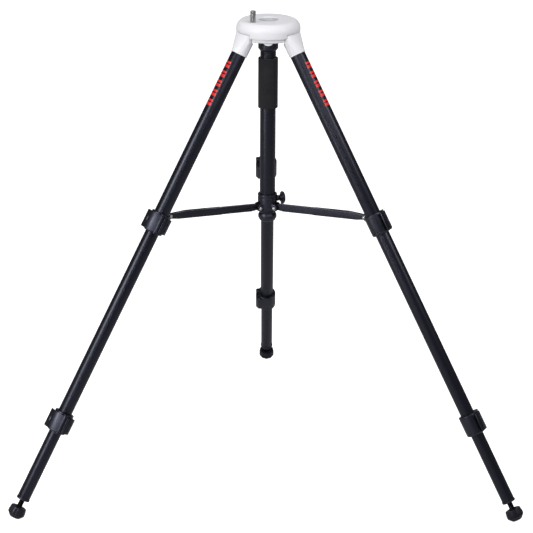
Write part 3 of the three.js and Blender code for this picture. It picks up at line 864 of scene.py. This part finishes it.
# ---- Legs ----
def knuckle_corners():
    """Centres of the small spheres whose hull is the knuckle's square head, in the leg's frame."""
    angle = leg_angle()
    half = KNUCKLE_WIDTH / 2 - KNUCKLE_ROUND - SEAM_LINE
    seam = HEAD_SEAM - GAP - HINGE_HEIGHT - KNUCKLE_ROUND - SEAM_LINE
    bottom = -KNUCKLE_DROP + KNUCKLE_ROUND
    steps = 14
    flat = []
    for step in range(steps + 1):
        sideways = half * (2 * step / steps - 1)
        outward = math.sqrt((HEAD_RADIUS - KNUCKLE_ROUND) ** 2 - sideways ** 2) - HINGE_OFFSET
        flat += [(outward, sideways, seam), (outward, sideways, bottom)]
    for sideways in (-half, half):
        flat += [(KNUCKLE_ROUND, sideways, seam), (4 + KNUCKLE_ROUND, sideways, bottom)]
    tilt = Matrix.Rotation(angle, 3, "Y")
    return [tilt @ Vector(corner) for corner in flat]


def make_knuckle(side):
    """A square head flush with the head's side wall, tapering to a round sleeve."""
    bm = bmesh.new()
    for corner in knuckle_corners():
        bmesh.ops.create_icosphere(bm, subdivisions=2, radius=KNUCKLE_ROUND,
                                   matrix=Matrix.Translation(corner))
    ring_radius = SLEEVE_RADIUS - 0.05
    for index in range(FINE):
        turn = 2 * math.pi * index / FINE
        bm.verts.new((ring_radius * math.cos(turn), ring_radius * math.sin(turn), -SLEEVE_END + 5))
    hull = bmesh.ops.convex_hull(bm, input=bm.verts)
    unused = {v for v in hull["geom_interior"] + hull["geom_unused"] if isinstance(v, bmesh.types.BMVert)}
    bmesh.ops.delete(bm, geom=list(unused), context="VERTS")
    inner_faces = [f for f in bm.faces if any(not e.is_manifold for e in f.edges)]
    if inner_faces:
        bmesh.ops.delete(bm, geom=inner_faces, context="FACES")
    knuckle = finish_mesh(bm, f"knuckle_{side}_casting")

    half = KNUCKLE_WIDTH / 2
    neck = block("neck", (-EYE_RADIUS, -SLEEVE_RADIUS + 3, -14), (5, SLEEVE_RADIUS - 3, 0))
    eye = cross_rod("eye", EYE_RADIUS, -half, half, 0, 0, edge=0.8)
    sleeve_profile = [
        (0, -SLEEVE_END), (SLEEVE_RADIUS, -SLEEVE_END, 1), (SLEEVE_RADIUS, -13, 2),
        (SLEEVE_RADIUS - 2, -11), (0, -11),
    ]
    sleeve = turned("sleeve", sleeve_profile)
    union(knuckle, neck, eye, sleeve)
    bore = rod("bore", UPPER_RADIUS + GAP, -SLEEVE_END - 1, -UPPER_TUBE[0] + GAP, sides=FINE)
    pin_bore = cross_rod("pin_bore", HINGE_PIN_RADIUS + GAP, -40, 40, 0, 0)
    cut(knuckle, bore, pin_bore)
    shade(knuckle, 30)
    place(knuckle, leg_frame(side), f"leg_{side}", "white_casting", WHITE, f"knuckle_{side}")


def make_leg_tube(name, radius, ends, side, body, replaced):
    start, end = ends
    pipe = tube(name, radius - TUBE_WALL, radius, -end, -start)
    place(pipe, leg_frame(side), body, "black_aluminium", ANODISED, replaced)


def make_marks(side):
    """Plain red bars on the outer face of the upper tube."""
    bm = bmesh.new()
    columns = 16
    outer = UPPER_RADIUS + 0.06
    inner = UPPER_RADIUS - 0.02
    for mark in range(MARK_COUNT):
        for bar_start, bar_end in MARK_BARS:
            near = MARK_START + mark * MARK_SPACING + bar_start
            far = MARK_START + mark * MARK_SPACING + bar_end
            layers = []
            for radius, depth in ((outer, near), (outer, far), (inner, far), (inner, near)):
                row = []
                for index in range(columns + 1):
                    turn = MARK_HALF_ANGLE * (2 * index / columns - 1)
                    row.append(bm.verts.new((radius * math.cos(turn), radius * math.sin(turn), -depth)))
                layers.append(row)
            for first, second in zip(layers, layers[1:] + layers[:1]):
                for index in range(columns):
                    bm.faces.new((first[index], first[index + 1], second[index + 1], second[index]))
            bm.faces.new([row[0] for row in layers])
            bm.faces.new([row[-1] for row in layers])
    marks = finish_mesh(bm, f"leg_marks_{side}")
    place(marks, leg_frame(side), f"leg_{side}", "black_aluminium", RED)


def make_lock(name, side, body, replaced, centre, upper_radius, lower_radius, seat, lug):
    """A clamp collar with the lever's hinge block on its +Y side."""
    low = -centre - LOCK_LENGTH / 2
    high = -centre + LOCK_LENGTH / 2
    lever_half = LEVER_LENGTH / 2 + GAP
    groove = 0.7
    profile = [
        (0, low), (LOCK_RADIUS - 2.2, low, 0.8), (LOCK_RADIUS, low + 3.2, 1.2),
        (LOCK_RADIUS, low + 6, 0.2), (LOCK_RADIUS - groove, low + 6.4, 0.2),
        (LOCK_RADIUS - groove, low + 7.4, 0.2), (LOCK_RADIUS, low + 7.8, 0.2),
        (LOCK_RADIUS, high, 1.4), (0, high),
    ]
    lock = turned(name, profile, steps=4)
    clamp_outline = [
        (4, 12), (4, 29, 1.6), (-12, 29, 3), (-20.2, 22.5, 2.5), (-20.8, 13, 3), (-21, 8), (-12, 8),
    ]
    clamp = soften(prism("clamp", clamp_outline, low + 5.5, high - 6), 1.2, segments=3, angle=50)
    ear_outline = [(2, 12), (14, 15), (15, 23, 4), (13.6, 28.9, 5), (2, 28.9, 1)]
    union(lock, clamp)
    for bottom, top in ((low, -centre - lever_half), (-centre + lever_half, high)):
        union(lock, soften(prism("ear", ear_outline, bottom, top), 0.6, segments=2, angle=60))
    pivot_x, pivot_y = LEVER_PIVOT
    bores = [
        rod("bore", upper_radius + GAP, -seat - GAP, high + 1, sides=FINE),
        rod("bore", lower_radius + GAP, low - 1, -seat, sides=FINE),
        block("slit", (-4.5, 12, low - 1), (-3, 40, high + 1)),
        moved(rod("stub", LEVER_STUB + GAP, low + 1, high - 1), (pivot_x, pivot_y, 0)),
        moved(rod("room", LEVER_EYE + 0.7, -centre - lever_half, -centre + lever_half),
              (pivot_x, pivot_y, 0)),
    ]
    for height in SCREW_SEAT_HEIGHTS:
        bores.append(cross_rod("screw_seat", SCREW_SEAT_RADIUS, 27, 40, -9, -centre + height, sides=32))
    cut(lock, *bores)
    if lug:
        add_lug(lock)
    shade(lock)
    place(lock, leg_frame(side), body, "black_plastic", PLASTIC, replaced)


def lug_place():
    """Where the outer arm pivot lies in the leg's frame, in millimetres."""
    pivot = Vector(joint("fork_turn_rear")["pos_m"])
    local = leg_frame("rear").inverted() @ pivot
    return local.x / MM, local.z / MM


def add_lug(lock):
    """The lug that carries the arm, on the lock's inner side."""
    across, along = lug_place()
    eye = OUTER_EYE
    cut(lock, cross_rod("room", ARM_BOTTOM + 1.4, -20, 20, across, along))
    outline = [
        (across - eye, along + eye, eye), (across + eye, along + eye, eye * 0.7),
        (-UPPER_RADIUS - 0.8, -LOCK_UPPER + 26, 1), (-UPPER_RADIUS - 0.8, -LOCK_UPPER + 14),
        (-20, -LOCK_UPPER + 6), (-28, -LOCK_UPPER + 20, 3), (across - eye, along - 2, 2),
    ]
    lug = standing_prism("lug", outline, TONGUE_WIDTH)
    union(lock, soften(lug, 0.6, segments=2, angle=60))
    cut(lock, cross_rod("hole", PIVOT_PIN_RADIUS + 0.1, -20, 20, across, along))


def flowing(points, steps=6):
    """A smooth curve through the points."""
    result = []
    last = len(points) - 1
    for index in range(last):
        before, here = Vector(points[max(index - 1, 0)]), Vector(points[index])
        after, beyond = Vector(points[index + 1]), Vector(points[min(index + 2, last)])
        for step in range(steps):
            t = step / steps
            curve = (2 * here + (after - before) * t + (2 * before - 5 * here + 4 * after - beyond) * t * t
                     + (3 * here - before - 3 * after + beyond) * t ** 3) / 2
            result.append((curve.x, curve.y))
    result.append(tuple(points[last]))
    return result


def make_lever(name, side, body, replaced, centre):
    """A shell round the lock's outer side, with a finger hold at its free end."""
    half = LEVER_LENGTH / 2
    pivot_x, pivot_y = LEVER_PIVOT
    inner = [(9, 21.6), (11.6, 20.1), (14.9, 17.8), (20, 11.6), (22.5, 5.4), (23.2, 0), (23.6, -5),
             (24.2, -11.2)]
    tip = [(24.9, -13.6), (26.2, -14.5), (27.6, -14.4)]
    outer = [(28.4, -13.4), (28.9, -6), (28.4, 0.5), (26.9, 7.2), (23.9, 13.8), (19.4, 19.4),
             (14.4, 24.4), (10, 28.3)]
    lever = prism(name, flowing(inner) + tip + flowing(outer), -half, half)
    union(lever, moved(rod("eye", LEVER_EYE, -half, half), (pivot_x, pivot_y, 0)))
    soften(lever, 1.1, segments=3, angle=50)
    union(lever, moved(rod("stub", LEVER_STUB, -half - 2, half + 2), (pivot_x, pivot_y, 0)))
    thumb_profile = [(0, -9), (3.6, -8.2, 2), (7, -5, 3), (8, 0, 4), (7, 5, 3), (3.6, 8.2, 2), (0, 9)]
    thumb = turned("thumb", thumb_profile, sides=48)
    thumb.data.transform(Matrix.Diagonal((1, 0.8, 1.25, 1)))
    grooves = []
    for degrees in (-11, -17, -23):
        groove = block("groove", (29.6, -0.45, -half + 4), (40, 0.45, half - 4))
        grooves.append(turned_by(groove, degrees))
    cut(lever, moved(thumb, (34.4, 1.5, 0)), *grooves)
    shade(lever)
    moved(lever, (0, 0, -centre))
    place(lever, leg_frame(side), body, "black_plastic", PLASTIC, replaced)


def make_end_cap(side):
    start, end = END_CAP
    plug = LOWER_RADIUS - TUBE_WALL - GAP
    seat = -LOWER_TUBE[1] - GAP
    profile = [
        (STEM_RADIUS + GAP, -end), (END_CAP_LIP, -end, 1), (END_CAP_LIP, seat, 0.6), (plug, seat),
        (plug, -start, 1), (STEM_RADIUS + GAP, -start),
    ]
    cap = turned(f"end_cap_{side}_plug", profile, closed=True, steps=3)
    place(cap, leg_frame(side), f"lower_{side}", "black_plastic", PLASTIC, f"end_cap_{side}")


def make_stem(side):
    """A threaded stem: the surface is one helical ridge."""
    pitch = 1.8
    depth = 0.55
    per_turn = 8
    sides = 32
    bm = bmesh.new()
    rings = []
    start, end = STEM
    count = int((end - start) / pitch * per_turn)
    for step in range(count + 1):
        height = -end + (end - start) * step / count
        ring = []
        for index in range(sides):
            turn = 2 * math.pi * index / sides
            phase = (height / pitch + turn / (2 * math.pi)) % 1.0
            ridge = 1 - abs(2 * phase - 1)
            radius = STEM_RADIUS - depth * (1 - ridge)
            ring.append(bm.verts.new((radius * math.cos(turn), radius * math.sin(turn), height)))
        rings.append(ring)
    bm.faces.new(rings[0])
    bm.faces.new(rings[-1])
    for first, second in zip(rings, rings[1:]):
        join_rings(bm, first, second, sides)
    stem = finish_mesh(bm, f"foot_stem_{side}_thread", sharp_degrees=60)
    place(stem, leg_frame(side), f"lower_{side}", "steel", DARK_STEEL, f"foot_stem_{side}")


def make_foot(side):
    """The rubber foot: a rounded knob with shallow flats moulded round it."""

    def flats(angle, height, radius):
        share = max(0.0, min(1.0, (radius - 11) / (FOOT_RADIUS - 11)))
        return 1 - 0.045 * share * (0.5 - 0.5 * math.cos(10 * angle)) ** 1.5

    socket = STEM_RADIUS + GAP
    socket_floor = FOOT_CENTRE - STEM[1] - GAP - 1
    profile = [
        (0, -14), (11.4, -13.4, 1.6), (FOOT_RADIUS - 0.4, -4.8, 1.4), (FOOT_RADIUS, 1, 1.6),
        (FOOT_RADIUS - 2, 13.2, 1.4), (12, 13.4, 0.8), (10.5, 12.2, 0.8), (socket, 12.2, 0.4),
        (socket, socket_floor), (0, socket_floor),
    ]
    foot = turned(f"foot_{side}_rubber", profile, sides=160, shape=flats)
    moved(foot, (0, 0, -FOOT_CENTRE))
    place(foot, leg_frame(side), f"foot_{side}", "rubber", RUBBER, f"foot_{side}")


def make_leg(side):
    leg, middle, lower = f"leg_{side}", f"middle_{side}", f"lower_{side}"
    make_knuckle(side)
    make_leg_tube(f"upper_tube_{side}_pipe", UPPER_RADIUS, UPPER_TUBE, side, leg, f"upper_tube_{side}")
    make_leg_tube(f"middle_tube_{side}_pipe", MIDDLE_RADIUS, MIDDLE_TUBE, side, middle,
                  f"middle_tube_{side}")
    make_leg_tube(f"lower_tube_{side}_pipe", LOWER_RADIUS, LOWER_TUBE, side, lower,
                  f"lower_tube_{side}")
    make_marks(side)
    make_lock(f"upper_lock_{side}_collar", side, leg, f"upper_lock_{side}", LOCK_UPPER, UPPER_RADIUS,
              MIDDLE_RADIUS, UPPER_TUBE[1], lug=True)
    make_lock(f"lower_lock_{side}_collar", side, middle, f"lower_lock_{side}", LOCK_LOWER,
              MIDDLE_RADIUS, LOWER_RADIUS, MIDDLE_TUBE[1], lug=False)
    make_lever(f"upper_lever_{side}_arm", side, f"upper_lever_{side}", f"upper_lever_{side}", LOCK_UPPER)
    make_lever(f"lower_lever_{side}_arm", side, f"lower_lever_{side}", f"lower_lever_{side}", LOCK_LOWER)
    make_end_cap(side)
    make_stem(side)
    make_foot(side)


# ---- Room, light and camera ----
ROOM_GLOW = 0.5        # the pale room round the object, as it lights matt surfaces
ROOM_SHEEN = 0.1       # the same room, as glossy surfaces mirror it
FLOOR_HALF_WIDTH = 15000
CAMERA_LENS = 141.13
CAMERA_PLACE = (-0.0013, -4.6712, 2.1551)
CAMERA_PITCH = math.radians(19.525)
CAMERA_ROLL = math.radians(0.3016)

# Each light's name, position, target, width and height, and power in watts.
STUDIO_LIGHTS = (
    ("key", (-3.5, -3.1, 1.7), (0, 0, -0.4), (1.5, 2.0), 130),
    ("fill", (3.0, -1.6, 2.2), (0, 0, -0.4), (1.4, 1.2), 42),
    ("top", (0, -0.5, 2.5), (0, 0, -0.3), (1.6, 0.6), 16),
    ("head", (0.25, -0.85, 0.3), (0, 0, 0), (0.7, 0.5), 1.8),
    ("low", (-1.4, -1.3, -0.6), (0, 0, -0.2), (0.4, 0.4), 3.4),
    ("back", (0, 3.2, 0.75), (0, 0, -0.4), (2.6, 0.7), 2.5),
    ("strip", (-0.9, -3.0, 0.1), (0, 0, -0.2), (0.15, 0.9), 4),
)


def make_floor():
    """A pale floor that the camera sees as plain white."""
    half = FLOOR_HALF_WIDTH
    floor = block("studio_floor", (-half, -half, -20), (half, half, 0))
    floor.location.z = CAD_LOW.z
    m = Nodes("floor_paint")
    m.colours(m.noise(3), (0.42, 0.42, 0.42), (0.45, 0.45, 0.45))
    m.set(Roughness=0.9, Specular_IOR_Level=0.05, Emission_Color=(1, 1, 1, 1))
    m.link(m.node("ShaderNodeLightPath").outputs["Is Camera Ray"], m.shader.inputs["Emission Strength"])
    floor.data.materials.append(m.material)


def make_room():
    """White to the camera, pale to matt surfaces and dim in reflections."""
    world = bpy.data.worlds.new("studio")
    bpy.context.scene.world = world
    world.use_nodes = True
    nodes, links = world.node_tree.nodes, world.node_tree.links
    background = nodes["Background"]
    background.inputs["Color"].default_value = (1, 1, 1, 1)
    path = nodes.new("ShaderNodeLightPath")
    glow = nodes.new("ShaderNodeMapRange")
    glow.inputs["To Min"].default_value = ROOM_GLOW
    glow.inputs["To Max"].default_value = ROOM_SHEEN
    links.new(path.outputs["Is Glossy Ray"], glow.inputs["Value"])
    strength = nodes.new("ShaderNodeMapRange")
    strength.inputs["To Max"].default_value = 1.0
    links.new(path.outputs["Is Camera Ray"], strength.inputs["Value"])
    links.new(glow.outputs["Result"], strength.inputs["To Min"])
    links.new(strength.outputs["Result"], background.inputs["Strength"])


def add_light(name, position, target, size, power):
    data = bpy.data.lights.new(name, "AREA")
    data.shape = "RECTANGLE"
    data.size, data.size_y = size
    data.energy = power
    light = bpy.data.objects.new(name, data)
    bpy.context.scene.collection.objects.link(light)
    light.location = position
    light.rotation_mode = "QUATERNION"
    light.rotation_quaternion = (Vector(target) - Vector(position)).to_track_quat("-Z", "Y")


def make_camera():
    """The camera stands in front, above the head, and looks down at the spreader."""
    data = bpy.data.cameras.new("camera")
    data.lens = CAMERA_LENS
    data.sensor_width = 36
    camera = bpy.data.objects.new("camera", data)
    bpy.context.scene.collection.objects.link(camera)
    tilt = Matrix.Rotation(math.pi / 2 - CAMERA_PITCH, 4, "X")
    rotation = tilt @ Matrix.Rotation(CAMERA_ROLL, 4, "Z")
    camera.matrix_world = COLUMN_FRAME @ Matrix.Translation(CAMERA_PLACE) @ rotation
    data.clip_end = 100
    bpy.context.scene.camera = camera


bpy.context.scene.view_settings.view_transform = "Standard"
make_camera()
make_floor()
make_room()
for light_settings in STUDIO_LIGHTS:
    add_light(*light_settings)

make_head_plate()
make_head_base()
make_base_boss()
make_peg()
make_column()
make_collar()
make_column_cap()
make_grip()
make_hub()
make_knob()
for leg_side in SIDES:
    make_tongue(leg_side)
    make_fork(leg_side)
    make_pivot_pins(leg_side)
    make_leg(leg_side)

# The hinge pins stay as the CAD made them and only get their steel.
for node_name, node in frame["nodes"].items():
    if node_name.startswith("hinge_pin"):
        node.data.materials.clear()
        node.data.materials.append(STEEL)
